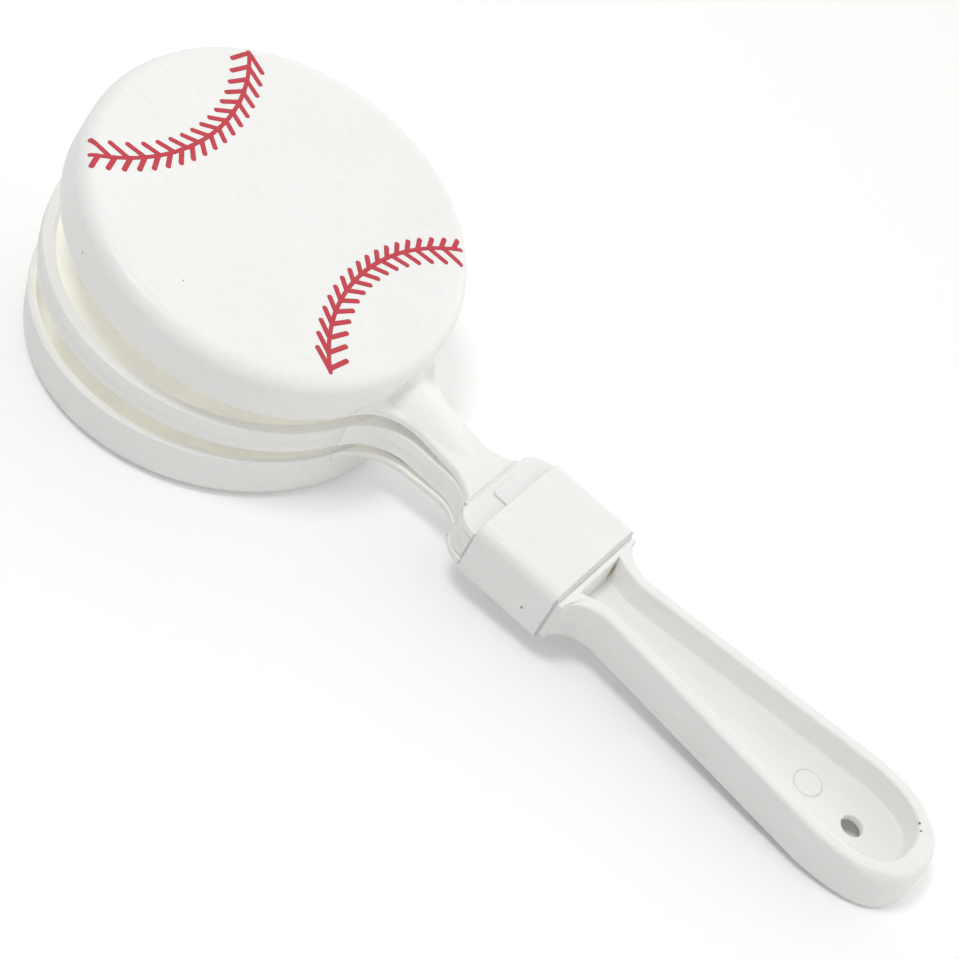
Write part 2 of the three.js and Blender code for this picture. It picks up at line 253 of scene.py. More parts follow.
def plastic_group():
    """Colour with dust and painted shade, roughness, relief, and a painted glow of light in the
    hollows, of moulded polypropylene, in object coordinates.
    """
    tree = bpy.data.node_groups.new("moulded_polypropylene", "ShaderNodeTree")
    for name, kind in (
        ("Color", "NodeSocketColor"),
        ("Roughness", "NodeSocketFloat"),
        ("Relief", "NodeSocketFloat"),
        ("Painted_Glow", "NodeSocketColor"),
    ):
        tree.interface.new_socket(name, in_out="OUTPUT", socket_type=kind)
    place = add_node(tree, "ShaderNodeTexCoord").outputs["Object"]

    def noise(scale, detail, rough, vector=place, distortion=0.0):
        """A noise pattern's value, from 0 to 1."""
        return add_node(
            tree, "ShaderNodeTexNoise", links={"Vector": vector},
            values={"Scale": scale, "Detail": detail, "Roughness": rough, "Distortion": distortion},
        ).outputs["Fac"]

    # Slow drift of the tone, and flow marks drawn out along the toy.
    stretch = add_node(
        tree, "ShaderNodeMapping", links={"Vector": place}, values={"Scale": (900.0, 120.0, 900.0)},
    )
    flow = noise(1.0, 3.0, 0.6, stretch.outputs["Vector"], 0.4)
    drift_tone = ramp(tree, noise(38.0, 2.0, 0.5), [(0.3, plastic_tones[0]), (0.7, plastic_tones[1])])
    flow_tone = ramp(tree, flow, [(0.34, 0.955), (0.5, 1.0), (0.75, 1.0)])
    tone = mixed_colour(tree, 0.6, drift_tone.outputs["Color"], flow_tone.outputs["Color"], "MULTIPLY")

    # A beige tint of dust and painted shade in the hollows, broken up by streaks, and a painted glow
    # of light there, an emission that brightens them.
    hollow = add_node(tree, "ShaderNodeAttribute", settings={"attribute_name": "hollow"})
    streak_tone = ramp(tree, noise(210.0, 4.0, 0.65), [(0.3, 0.6), (0.62, 1.0)])
    dust_and_shade = add_node(
        tree, "ShaderNodeMath", settings={"operation": "MULTIPLY"},
        links={0: hollow.outputs["Fac"], 1: streak_tone.outputs["Color"]},
    ).outputs[0]
    painted_glow = mixed_colour(tree, dust_and_shade, (0.0, 0.0, 0.0, 1.0), painted_hollow_glow)

    # A brown stain up the corner of the tray, and small dark specks, each at its place.
    upright = add_node(
        tree, "ShaderNodeVectorMath", settings={"operation": "MULTIPLY"},
        links={0: place}, values={1: stain_flatten},
    )
    # The hollows get the tint of dust and painted shade.
    marked = mixed_colour(tree, dust_and_shade, tone, dust_and_shade_tone)
    marked = spotted(tree, marked, upright.outputs["Vector"], stain_place, 0.3, stain_tone)
    for centre, size, speck_tone in specks:
        marked = spotted(tree, marked, place, centre, size, speck_tone)

    # Gloss: worn and greasy patches on a satin skin.
    roughness = add_node(
        tree, "ShaderNodeMapRange", links={"Value": noise(95.0, 5.0, 0.6)},
        values={"From Min": 0.3, "From Max": 0.7, "To Min": 0.34, "To Max": 0.46},
    )

    # Relief: the fine skin of the mould, and shallow waves where the wall sank.
    fine = add_node(
        tree, "ShaderNodeMath", settings={"operation": "MULTIPLY"},
        links={0: noise(2600.0, 2.0, 0.5)}, values={1: 0.012},
    )
    relief = add_node(
        tree, "ShaderNodeMath", settings={"operation": "ADD"},
        links={0: noise(70.0, 1.0, 0.4), 1: fine.outputs[0]},
    )
    add_node(
        tree, "NodeGroupOutput",
        links={
            "Color": marked, "Roughness": roughness.outputs[0],
            "Relief": relief.outputs[0], "Painted_Glow": painted_glow,
        },
    )
    return tree


white_plastic, white_tree, white_shader = new_material("white_polypropylene")
white_skin = add_node(white_tree, "ShaderNodeGroup", settings={"node_tree": plastic_group()})
white_bump = add_node(
    white_tree, "ShaderNodeBump", links={"Height": white_skin.outputs["Relief"]},
    values={"Strength": 0.35, "Distance": 0.0004},
)
white_tree.links.new(white_skin.outputs["Color"], white_shader.inputs["Base Color"])
white_tree.links.new(white_skin.outputs["Roughness"], white_shader.inputs["Roughness"])
white_tree.links.new(white_bump.outputs["Normal"], white_shader.inputs["Normal"])
# Painted light: the hollows glow, which brightens them.
white_tree.links.new(white_skin.outputs["Painted_Glow"], white_shader.inputs["Emission Color"])
white_shader.inputs["Emission Strength"].default_value = 1.0
white_shader.inputs["IOR"].default_value = 1.49
white_shader.inputs["Specular IOR Level"].default_value = 0.4
white_shader.inputs["Subsurface Weight"].default_value = 0.1
white_shader.inputs["Subsurface Radius"].default_value = (1.0, 0.95, 0.8)
white_shader.inputs["Subsurface Scale"].default_value = 0.001


# The paddle's blade is a thin web in a tall rim, with a parting line round the rim.
disc_radius = 42.0
web_half = 1.0
blade_half = 3.0
rim_inner = 39.4


def rounded(corners, steps=4):
    """Points along a bent line. A corner is (a, b, radius), and the line turns it on an
    arc of that radius: the arc's centre, plus its two end spokes weighted by the sines of
    the turns that are left on both sides."""
    path = [np.array([corners[0][:2]], float)]
    part = np.linspace(0, 1, steps + 1)
    for before, (a, b, radius), after in zip(corners, corners[1:], corners[2:]):
        corner = np.array([a, b], float)
        if radius == 0:
            path.append(corner[None])
            continue
        legs = np.array([before[:2], after[:2]], float) - corner
        legs /= np.linalg.norm(legs, axis=1)[:, None]
        bisector = legs.sum(axis=0) / np.linalg.norm(legs.sum(axis=0))
        half = math.acos(np.clip(legs[0] @ legs[1], -1, 1)) / 2
        centre = corner + bisector * radius / math.sin(half)
        spokes = corner + legs * radius / math.tan(half) - centre
        swing = math.pi - 2 * half
        weights = np.sin(np.column_stack([1 - part, part]) * swing) / math.sin(swing)
        path.append(centre + weights @ spokes)
    path.append(np.array([corners[-1][:2]], float))
    return np.concatenate(path)


def lathed(profile, steps=192):
    """A grid from a profile of radius and height, turned about the Z axis."""
    angles = np.linspace(0, 2 * math.pi, steps + 1)
    radius, height = profile.T[..., None]
    return np.stack(
        [radius * np.cos(angles), radius * np.sin(angles), height + 0 * angles], axis=-1
    )


def paddle_blade():
    """The blade, turned from a profile of web, rim and a parting line at half height."""
    upper = rounded(
        [
            (0, web_half, 0), (rim_inner, web_half, 0.4), (rim_inner + 0.05, blade_half, 0.3),
            (disc_radius - 0.15, blade_half, 0.4), (disc_radius - 0.13, 0.2, 0),
            (disc_radius, 0.06, 0), (disc_radius, 0, 0),
        ]
    )
    return lathed(np.concatenate([upper, upper[-2::-1] * (1, -1)]))


# The paddle's neck leaves the blade at a tangent, runs straight at the waist and widens
# to the hinge line. Below it round shoulders lead to the core that the collar goes over.
waist = 5.2
flare_radius = 13.0
flare_x = waist + flare_radius
flare_reach = disc_radius + flare_radius
flare_y = -math.sqrt(flare_reach**2 - flare_x**2)
hinge_y = -67.5
hinge_half = 8.8
lower_length = 7.5
lower_radius = ((hinge_half - waist) ** 2 + lower_length**2) / (2 * (hinge_half - waist))
wall_steps = np.array([0.5, 0.33, 0.19, 0.085, 0.02, 0.0])
shoulder_half = 13.9
shoulder_end = -73.45
core_half = 12.1
core_end = -94.9
neck_ridge = 0.12
stop_half, stop_height = 13.5, 6.3
stop_bottom, stop_top = -94.4, -93.0


def smooth(part):
    """Eases a share between 0 and 1: three times its square less twice its cube."""
    return part * part * (3 - 2 * part)


def neck_edge(inner_radii):
    """Points up the neck's right-hand edge: an arc above the hinge line, a straight, the
    flare's arc as far as the disc, and points inside the disc at the given radii. The
    third value is how far the line across the neck has bent to the disc's curve there."""
    drop = lower_length * np.linspace(1, 0, 12)[:-1]
    lower_side = waist + lower_radius - np.sqrt(lower_radius**2 - drop**2)
    lower = np.column_stack([lower_side, hinge_y + lower_length - drop, 0 * drop])
    rise = np.linspace(hinge_y + lower_length, flare_y, 16)
    straight = np.column_stack([0 * rise + waist, rise, 0 * rise])
    widest = math.acos(flare_x / flare_reach)
    radius = disc_radius + wall_steps
    cosine = (flare_reach**2 + flare_radius**2 - radius**2) / (2 * flare_reach * flare_radius)
    wall_turns = np.arccos(np.minimum(cosine, 1))
    flare_turns = np.linspace(widest, wall_turns[0], 14)[1:-1]
    bend = smooth((widest - flare_turns) / (widest - wall_turns[0]))
    angle = math.atan2(-flare_y, -flare_x) + np.concatenate([flare_turns, wall_turns])
    flare = np.column_stack(
        [
            flare_x + flare_radius * np.cos(angle),
            flare_y + flare_radius * np.sin(angle),
            np.concatenate([bend, np.ones(len(wall_turns))]),
        ]
    )
    shrink = np.array(inner_radii)[:, None] / disc_radius
    inner = np.hstack([flare[-1, :2] * shrink, np.ones_like(shrink)])
    return np.concatenate([lower, straight, flare, inner])


def shoulder_edge(first_angle, steps=14):
    """Edge points of the round shoulder, a quarter ellipse down to the collar."""
    angles = np.linspace(first_angle, 0, steps)
    return np.column_stack(
        [
            hinge_half + (shoulder_half - hinge_half) * np.cos(angles),
            shoulder_end + (hinge_y - shoulder_end) * np.sin(angles),
            0 * angles,
        ]
    )


def line_across(side, y, bend, x):
    """The y at x of the line across the neck that ends in an edge point (side, y): the
    circle about the blade's centre through that point, taken by the share bend."""
    radius = np.hypot(side, y)
    return y - bend * (np.sqrt(radius**2 - x**2) - np.sqrt(radius**2 - side**2))


def mirrored_ring(half_x, half_z):
    """Closes sections from their right-hand halves, which start and end at X = 0."""
    ring_x = np.hstack([half_x, -half_x[:, -2:0:-1], half_x[:, :1]])
    ring_z = np.hstack([half_z, half_z[:, -2:0:-1], half_z[:, :1]])
    return ring_x, ring_z


def capped(grid, middle):
    """Closes both ends of a tube with a fan to a point on the middle line, at the height
    middle and at the y of each end ring's first point."""
    tips = np.zeros((2, grid.shape[1], 3))
    tips[:, :, 1] = grid[[0, -1], :1, 1]
    tips[:, :, 2] = middle
    return np.concatenate([tips[:1], grid, tips[1:]])


def bar(stations, low, high, edge, ridge=0.0):
    """A flat bar with quarter-round edges along its stations (side, y, bend), closed at
    both ends. A ridge is a fine parting line that stands out at half its height."""
    side, y, bend = stations.T[..., None]
    low, high = (np.reshape(level, (-1, 1)) + 0 * side for level in (low, high))
    wall, middle = side - ridge, (low + high) / 2
    flat = np.linspace(0, 1, 9) * (wall - edge)
    turn = np.linspace(0, math.pi / 2, 5)[1:]
    corner, drop = edge * (1 - np.sin(turn)), edge * (1 - np.cos(turn))
    upper = [(flat, high), (wall - corner, high - drop)]
    lower = [(wall - corner[::-1], low + drop[::-1]), (flat[:, ::-1], low)]
    if ridge:
        upper.append((np.hstack([wall, side, wall]), middle + 1.5 * ridge * np.array([1, 0, -1])))
    half_x = np.hstack([x for x, z in upper + lower])
    half_z = np.hstack([z + 0 * x for x, z in upper + lower])
    ring_x, ring_z = mirrored_ring(half_x, half_z)
    grid = np.stack([ring_x, line_across(side, y, bend, ring_x), ring_z], axis=-1)
    return capped(grid, middle[[0, -1]])


def paddle_neck():
    """The neck, the shoulders and the core: one flat bar along their edge points, from
    inside the handle to inside the rim."""
    core = [(core_half, core_end, 0), (core_half, shoulder_end - 0.02, 0)]
    shoulder = shoulder_edge(math.pi / 2)[::-1]
    stations = np.concatenate([core, shoulder, neck_edge((41.6, 41.5))[1:]])
    half_height = np.full(len(stations), blade_half)
    half_height[-1] = 2.9
    return bar(stations, -half_height, half_height, 0.35, neck_ridge)


def collar_stop():
    """The low step at the handle's end that closes the collar's mouth, a short flat bar."""
    ends = np.array([(stop_half, stop_bottom, 0), (stop_half, stop_top, 0)])
    return bar(ends, -stop_height, stop_height, 0.3)


# The paddle's handle is a web between two trays in a tall rim. Its outline is a short
# land under the collar, a hollow flare, a side that widens to the grip and a round end.
handle_half = 5.3
handle_top = -93.97
handle_end = -180.2
land_half, land_length = 13.2, 1.83
slim_half, slim_y, flare_height = 7.7, -103.8, 8.0
grip_half, grip_y = 13.0, -160.0
tray_top, tray_end = -96.05, -174.8
tray_half, tray_corner = 6.55, (0.11, 0.22)
tray_slim_half, tray_grip_half = 4.5, 9.8
web_top = -0.8
web_bottom = -2.8
round_start, round_length = -168.0, 9.0
hole_centre = np.array([0.0, -164.2])
hole_radius = 2.4
hole_rows = (-159.3, -169.3)
pin_centre = np.array([0.6, -152.5])
pin_radius = 3.0
pin_rows = (-148.0, -157.2)


def round_end(side, end, steps=25):
    """The handle's round end, a cubic curve from the side of the grip to the middle."""
    part = np.linspace(0, 1, steps)[1:]
    rest = 1 - part
    weights = np.column_stack([rest**3, 3 * rest**2 * part, 3 * rest * part**2, part**3])
    pull = grip_y + 0.72 * (end - grip_y)
    return weights @ np.array([(side, grip_y), (side, pull), (0.72 * side, end), (0, end)])


def loop_from(half):
    """A closed outline from its right-hand half, which starts and ends at X = 0."""
    return np.concatenate([half, half[-2::-1] * (-1, 1)])


def handle_edges():
    """Matching closed outlines of the handle and of its trays' floors: lines across the
    top and down the land, a flare that is a quarter ellipse outside and a parabola
    inside, a line along the grip and the round end."""
    across, land = np.linspace(0, 1, 9), np.array([0.5, 1])
    flare, grip = np.linspace(0, 1, 15)[1:], np.linspace(0, 1, 33)[1:]
    turn = flare * math.pi / 2
    corner_x, corner_y = tray_corner
    tray_flare = tray_half - corner_x - tray_slim_half
    tray_flare_top = tray_top - corner_y
    grip_line = slim_y + (grip_y - slim_y) * grip
    outer = [
        (land_half * across, 0 * across + handle_top),
        (0 * land + land_half, handle_top - land_length * land),
        (land_half - (land_half - slim_half) * np.sin(turn), slim_y + flare_height * np.cos(turn)),
        (slim_half + (grip_half - slim_half) * grip, grip_line),
    ]
    inner = [
        (tray_half * across, 0 * across + tray_top),
        (tray_half - corner_x * land, tray_top - corner_y * land),
        (
            tray_slim_half + tray_flare * (1 - flare) ** 2,
            tray_flare_top + (slim_y - tray_flare_top) * flare,
        ),
        (tray_slim_half + (tray_grip_half - tray_slim_half) * grip, grip_line),
    ]
    outer_end, inner_end = round_end(grip_half, handle_end), round_end(tray_grip_half, tray_end)
    return (
        loop_from(np.concatenate([np.hstack(outer).T, outer_end])),
        loop_from(np.concatenate([np.hstack(inner).T, inner_end])),
    )


def inset(loop, distance):
    """The closed outline moved inwards along its mitres, once for each row of distances,
    which has one distance for each point."""
    points = loop[:-1]
    ahead = np.roll(points, -1, axis=0) - points
    ahead /= np.linalg.norm(ahead, axis=1)[:, None]
    inward = np.column_stack([ahead[:, 1], -ahead[:, 0]])
    before = np.roll(inward, 1, axis=0)
    mitre = (inward + before) / (1 + np.sum(inward * before, axis=1))[:, None]
    moved = points + mitre * distance[:, :-1, None]
    return np.concatenate([moved, moved[:, :1]], axis=1)


def lines_across(edge, corner=8):
    """Lines across a tray from its right-hand edge: the first runs along the tray's upper
    end to its corner, and each of the others is straight at the y of its edge point."""
    part = np.linspace(-1, 1, 2 * corner + 1)[:, None]
    first = np.concatenate([edge[corner:0:-1] * (-1, 1, 1), edge[:corner + 1]])
    rest = edge[corner + 1:, None] * np.hstack([part, 0 * part + 1, 0 * part + 1])
    return np.concatenate([first[None], rest])


def loop_round(lines, first, last):
    """The closed loop round the lines from the first to the last."""
    sides = [lines[first], lines[first + 1:last, -1], lines[last][::-1]]
    return np.concatenate([*sides, lines[last - 1:first:-1, 0], lines[first][:1]])


def hole_rings(level):
    """Radius and height down the rounded lip of the hanging hole, to half its depth."""
    lip = rounded([(0.35, 0, 0), (0, 0, 0.3), (0, -0.5, 0)], 3)[1:]
    steps = np.concatenate([[(1.2, 0), (0.35, 0)], lip, [(0, -1.0)]])
    return steps + (hole_radius, level)


def pin_rings(level):
    """Radius and height over the ejector pin's mark: a groove round a slightly raised disc."""
    steps = [
        (0.5, 0), (0.13, 0), (0.09, -0.3), (-0.03, -0.3),
        (-0.07, 0.08), (-0.4, 0.08), (-1.5, 0.08), (-pin_radius, 0.08),
    ]
    return np.array(steps) + (pin_radius, level)


def ring_fill(loop, guide, centre, rings):
    """A grid from a closed loop to rings of (radius, height) about a centre, with points
    in the directions of the guide loop's points."""
    rays = guide[:, :2] - centre
    rays /= np.linalg.norm(rays, axis=1)[:, None]
    radius, level = rings.T[..., None]
    circles = np.dstack([centre + rays * radius[..., None], level + 0 * rays[:, 0]])
    return np.concatenate([loop[None], circles])


def handle_side(top):
    """One side of the handle from the parting line to the web: outer wall, round edge,
    rim, tray wall with a little draft, fillet and floor. The upper side has softer edges
    round the end: there its profile is blended into a second one."""
    outer, inner = handle_edges()
    level = web_top if top else -web_bottom
    turn = np.linspace(0.25, math.pi / 2, 6)
    wall = rounded(
        [
            (0.0, 0.0, 0), (0.0, 0.05, 0), (0.05, 0.2, 0),
            (0.12, handle_half, 0.8), (2.0, handle_half, 0),
        ],
        5,
    )[:-1]
    end_arc = np.column_stack([0.05 + 1.95 * (1 - np.cos(turn)), handle_half * np.sin(turn)])
    end_wall = np.concatenate([wall[:3], end_arc])
    tray, end_tray = (
        rounded(
            [(-2, handle_half, 0), (-0.32, handle_half, 0.55), (0.0, level, fillet), (2, level, 0)], 5
        )[1:-1]
        for fillet in (0.5, 1.2)
    )
    share = smooth(np.clip((round_start - outer[:, 1]) / round_length, 0, 1)) * top
    soft = np.clip((handle_top - outer[:, 1]) / 7.5, 0, 1)

    def blended(profile, end_profile):
        """Distance and height of each step of the profile at each point of the outline."""
        steps = profile[:, None] + (end_profile - profile)[:, None] * share[:, None]
        return steps[..., 0], steps[..., 1]

    distance, z = blended(wall, end_wall)
    z = np.where(z > 1, handle_half - (handle_half - z) * soft, z)
    outer_rows = np.dstack([inset(outer, distance * soft), z])
    distance, z = blended(tray, end_tray)
    inner_rows = np.dstack([inset(inner, distance), z])
    grids = [np.concatenate([outer_rows, inner_rows])]

    # The floor, in lines across it, with the rings of the pin mark and of the hole let in.
    # The guide lines are the same on both sides, so that the hole's two halves meet.
    half = len(outer) // 2 + 1
    floor_rows = lines_across(inner_rows[-1, :half])
    guide_rows = lines_across(np.column_stack([inner[:half], np.zeros(half)]))
    row_y = guide_rows[:, guide_rows.shape[1] // 2, 1]
    cuts = [(hole_centre, hole_rows, hole_rings(level))]
    if top:
        cuts.insert(0, (pin_centre, pin_rows, pin_rings(level)))
    start = 0
    for centre, row_places, rings in cuts:
        first, last = (int(np.argmin(np.abs(row_y - y))) for y in row_places)
        loop, guide = loop_round(floor_rows, first, last), loop_round(guide_rows, first, last)
        grids.append(floor_rows[start:first + 1])
        grids.append(ring_fill(loop, guide, centre, rings))
        start = last
    grids.append(floor_rows[start:])
    if not top:
        grids = [grid * (1, 1, -1) for grid in grids]
    return grids


def paddle_hollow(points, number):
    """Where dust and painted shade go, with a painted glow of light: on the blade's web and inner rim,
    on the neck and in the hanging hole.
    """
    x, y, z = points.T
    in_rim = np.clip((41.0 - np.hypot(x, y)) / 1.2, 0, 1)
    under_rim = np.clip((3.02 - np.abs(z)) / 0.8, 0, 1)
    from_hole = (np.hypot(x, y - hole_centre[1]) - hole_radius) / 0.25
    hole = np.clip(1.6 - from_hole, 0, 1) * (y < -155) * np.clip((web_top - z) / 0.2, 0, 1)
    neck = (number == 1) * 0.35 * np.clip((y + 72) / 8, 0, 1)
    return np.maximum(np.maximum((number == 0) * in_rim * under_rim, hole), neck)


def make_piece(name, body, nodes, material, grids, place, masks):
    """Builds one object from its grids, and merges the points that meet. masks gives a
    named value for each point, from its place in the piece's own frame and the number of
    its grid."""
    points, faces, start = [], [], 0
    values = {key: [] for key in masks}
    for number, grid in enumerate(grids):
        rows, columns = grid.shape[:2]
        corner = np.arange(rows - 1)[:, None] * columns + np.arange(columns - 1) + start
        quads = np.stack([corner, corner + 1, corner + columns + 1, corner + columns], -1)
        flat = grid.reshape(-1, 3)
        points.append(flat)
        faces.append(quads.reshape(-1, 4))
        for key, mask in masks.items():
            values[key].append(mask(flat, number) + np.zeros(len(flat)))
        start += len(flat)
    mesh = bpy.data.meshes.new(name)
    mesh.from_pydata(place(np.concatenate(points)).tolist(), [], np.concatenate(faces).tolist())
    for key in masks:
        layer = mesh.attributes.new(key, "FLOAT", "POINT")
        layer.data.foreach_set("value", np.concatenate(values[key]).astype(np.float32))
    shape = bmesh.new()
    shape.from_mesh(mesh)
    bmesh.ops.remove_doubles(shape, verts=shape.verts, dist=2e-6)
    bmesh.ops.recalc_face_normals(shape, faces=shape.faces)
    shape.to_mesh(mesh)
    shape.free()
    mesh.polygons.foreach_set("use_smooth", [True] * len(mesh.polygons))
    mesh.materials.append(material)
    piece = bpy.data.objects.new(name, mesh)
    scene.collection.objects.link(piece)
    weigh = piece.modifiers.new("weighted_normals", "WEIGHTED_NORMAL")
    weigh.weight = 50
    weigh.keep_sharp = True
    if body:
        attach(piece, body)
    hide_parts(*nodes)
    return piece


make_piece(
    "centre_paddle_moulding", "paddle", ["centre_paddle"], white_plastic,
    [paddle_blade(), paddle_neck(), collar_stop(), *handle_side(True), *handle_side(False)],
    on_table, {"hollow": paddle_hollow},
)


# Clappers: the swinging ends of two mouldings alike, in the paddle's plastic. Each is a
# round cup, open towards the blade, on a neck plate that a low hollow hump stiffens, and
# it hangs on a film hinge at the plate's lower end.
cup_depth = 11.5
cup_edge = 3.25
cup_draft = 0.5
hollow_radius = 40.2
hollow_depth = 9.5
plate_thickness = 1.8
plate_height = 3.3
hinge_height = 4.4
wall_fillet = 0.5
hump_tip = -61.3
hump_slope = math.tan(math.radians(9.6))
hump_radius = 6.5
hump_wall = 1.8
groove_half = 0.45
film_half = 0.2
film_height = 1.1
plate_end = hinge_y + groove_half
openings = {"front": math.radians(7.8), "rear": lean}


def on_side(points, side):
    """Turns a point of the front half about the Y axis, for the rear half."""
    return points * (-1, 1, -1) if side == "rear" else points


def on_flap(side):
    """Gives the way from a clapper's own frame, its rim on Z = 0, to the table's."""

    def place(points):
        from_hinge = points + (0, -hinge_y, plate_height - hinge_height)
        swung = turned_about_x(from_hinge, openings[side]) + (0, hinge_y, hinge_height)
        return on_table(on_side(swung, side))

    return place


def clapper_cup():
    """The cup, turned from the profile of its hollow, its rim, its wall and its face."""
    hollow = [
        (0, hollow_depth, 0), (hollow_radius - cup_draft, hollow_depth, 1.2),
        (hollow_radius, 0, 0.25),
    ]
    outside = [
        (disc_radius, 0, 0.3), (disc_radius - cup_draft, cup_depth, cup_edge),
        (37.0, cup_depth, 0), (0, cup_depth, 0),
    ]
    return lathed(rounded(hollow + outside, 8))


def hump_height(x, y, wall):
    """Height of a round bar that rises towards the cup, with a wall taken off its skin."""
    axis_height = plate_thickness + hump_slope * (y - hump_tip) - hump_radius
    radius = hump_radius - wall
    return axis_height + np.sqrt(np.clip(radius**2 - x**2, 0, None))


def hump_skin(x, y):
    """Height of the hump's upper skin: as high and as wide at its foot as the bar at each
    y, with flanks that are a blend of a line and a parabola and meet in a soft ridge."""
    crest = np.maximum(hump_slope * (y - hump_tip), 0.004)
    half = np.sqrt(crest * (2 * hump_radius - crest))
    part = (np.sqrt(x**2 + 0.1) - math.sqrt(0.1)) / half
    return plate_thickness + crest * (1 - 0.25 * part - 0.75 * part**2)


def smooth_maximum(first, second, width):
    """The larger of two heights, with a fillet where they are nearly alike."""
    near = np.clip(width - np.abs(first - second), 0, None)
    return np.maximum(first, second) + near**2 / (4 * width)


def wall_rise(side, y, bend):
    """Height of the round fillet that leads from the plate up the cup's wall."""
    distance = np.clip(np.hypot(side, y) - disc_radius, 0, None)
    depth = np.sqrt(np.clip(wall_fillet**2 - (wall_fillet - distance) ** 2, 0, None))
    return np.where(bend < 1, 0, wall_fillet - depth)


def plate_edge():
    """Edge points of the neck plate, from its groove at the hinge into the cup's wall,
    with more of them at the tip of the hump."""
    drop = lower_length - groove_half
    first = waist + lower_radius - math.sqrt(lower_radius**2 - drop**2)
    stations = neck_edge((41.6, 41.3))
    stations = stations[stations[:, 1] > plate_end + 0.1]
    near_tip = hump_tip + np.array([0.02, 0.15, 0.5, 1.0, 1.6])
    extra = np.column_stack([0 * near_tip + waist + 0.004, near_tip, 0 * near_tip])
    stations = np.concatenate([[(first, plate_end, 0.0)], stations, extra])
    return stations[np.lexsort((stations[:, 1], stations[:, 2]))]


def clapper_plate():
    """The neck plate with its hump above and the hump's hollow below: at each edge point
    a closed section of upper skin, round edges and lower skin, from the groove at the
    hinge into the cup's wall, where the lower skin is lifted off the rim."""
    edge, lower_edge, lift = 0.7, 0.25, 0.06
    side, y, bend = plate_edge().T[..., None]
    inside = np.hypot(side, y) < disc_radius - 0.01
    rise = np.where(inside, wall_fillet, wall_rise(side, y, bend))
    room = side - edge - 0.02

    def columns(wall, base):
        """Places across half the plate, close together at the foot of the hump."""
        crest = hump_height(0.0, line_across(side, y, bend, 0.0), wall) - base
        crest = np.clip(crest, 0.01, None)
        foot = np.sqrt(crest * (2 * (hump_radius - wall) - crest))
        foot = np.minimum(foot, room - 0.3)
        near = 1 - (1 - np.linspace(0, 1, 17)) ** 1.7
        beside = np.array([0.04, 0.1, 0.22, 0.5, 1.0])
        return np.hstack([foot * near, foot + (room - foot) * beside])

    top_x = columns(0.0, plate_thickness)
    top_y = line_across(side, y, bend, top_x)
    top_z = smooth_maximum(hump_skin(top_x, top_y), plate_thickness, 0.12) + rise
    low_x = columns(hump_wall, 0.0)[:, ::-1]
    low_y = line_across(side, y, bend, low_x)
    low_z = smooth_maximum(hump_height(low_x, low_y, hump_wall), 0.0, 0.1)
    low_z = np.where(inside, lift, low_z)
    turn = np.linspace(0, math.pi / 2, 5)[1:]
    edge_x = side - edge * (1 - np.sin(turn))
    edge_z = plate_thickness + rise - edge * (1 - np.cos(turn))
    low_edge_x = side - lower_edge * (1 - np.sin(turn[::-1]))
    low_edge_z = lift * inside + lower_edge * (1 - np.cos(turn[::-1]))
    half_x = np.hstack([top_x, edge_x, low_edge_x, low_x])
    half_z = np.hstack([top_z, edge_z, low_edge_z, low_z])
    ring_x, ring_z = mirrored_ring(half_x, half_z)
    grid = np.stack([ring_x, line_across(side, y, bend, ring_x), ring_z], axis=-1)
    groove = grid[:1].copy()
    groove[..., 1] = hinge_y + 0.15
    groove[..., 2] = np.clip(groove[..., 2], film_height - film_half, film_height + film_half)
    return capped(np.concatenate([groove, grid]), film_height)


def clapper_hollow(points, number):
    """Dust and painted shade, with a painted glow of light, inside the cup, under the neck plate and
    in the groove at the hinge.
    """
    x, y, z = points.T
    if number == 0:
        return np.clip((41.3 - np.hypot(x, y)) / 1.2, 0, 1) * (z < 9.8)
    return np.maximum(np.clip((0.4 - z) / 0.3, 0, 1), 0.2 * (y < hinge_y + 0.3))


for side_name in ("front", "rear"):
    make_piece(
        side_name + "_clapper_moulding", side_name + "_flap", [side_name + "_clapper"],
        white_plastic, [clapper_cup(), clapper_plate()],
        on_flap(side_name), {"hollow": clapper_hollow},
    )


# Tangs: the fixed ends of the clapper mouldings, flat on the paddle's core, each with a
# low raised tongue that goes under the collar. A groove at the end face leaves the film.
tang_end = -93.4
tongue_centre = np.array([1.25, -79.65])
tongue_width = 8.1
tongue_length = 20.7
tongue_height = 2.3


def on_core(side):
    """Gives the way from a tang's own frame, its underside on Z = 0, to the table's."""

    def place(points):
        return on_table(on_side(points + (0, 0, plate_height), side))

    return place


def tang_plate():
    """The tang: a flat bar along the edge points of its round shoulders and its straight
    part, from the hinge groove to its end in the collar."""
    groove_end = hinge_y - groove_half
    shoulder = shoulder_edge(math.asin((groove_end - shoulder_end) / (hinge_y - shoulder_end)))
    upper_end = [(shoulder[0, 0], hinge_y - 0.15, 0), (shoulder[0, 0], groove_end, 0)]
    core = [(core_half, shoulder_end - 0.02, 0), (core_half, tang_end, 0)]
    grid = bar(np.concatenate([upper_end, shoulder[1:], core]), 0.0, plate_thickness, 0.3)
    grid[1, :, 2] = np.clip(grid[1, :, 2], film_height - film_half, film_height + film_half)
    return grid


def round_rectangles(width, height, radius, steps=6):
    """Closed outlines of rectangles with quarter circles for corners, one for each set of
    width, height and corner radius, about their common middle."""
    width, height, radius = (np.reshape(size, (-1, 1)) for size in (width, height, radius))
    quarter = np.repeat(np.arange(4), steps + 1)
    angle = (quarter + np.tile(np.linspace(0, 1, steps + 1), 4)) * math.pi / 2
    x_side, y_side = np.array([(1, -1, -1, 1), (1, 1, -1, -1)])[:, quarter]
    x = x_side * (width / 2 - radius) + radius * np.cos(angle)
    y = y_side * (height / 2 - radius) + radius * np.sin(angle)
    outlines = np.stack([x, y], axis=-1)
    return np.concatenate([outlines, outlines[:, :1]], axis=1)


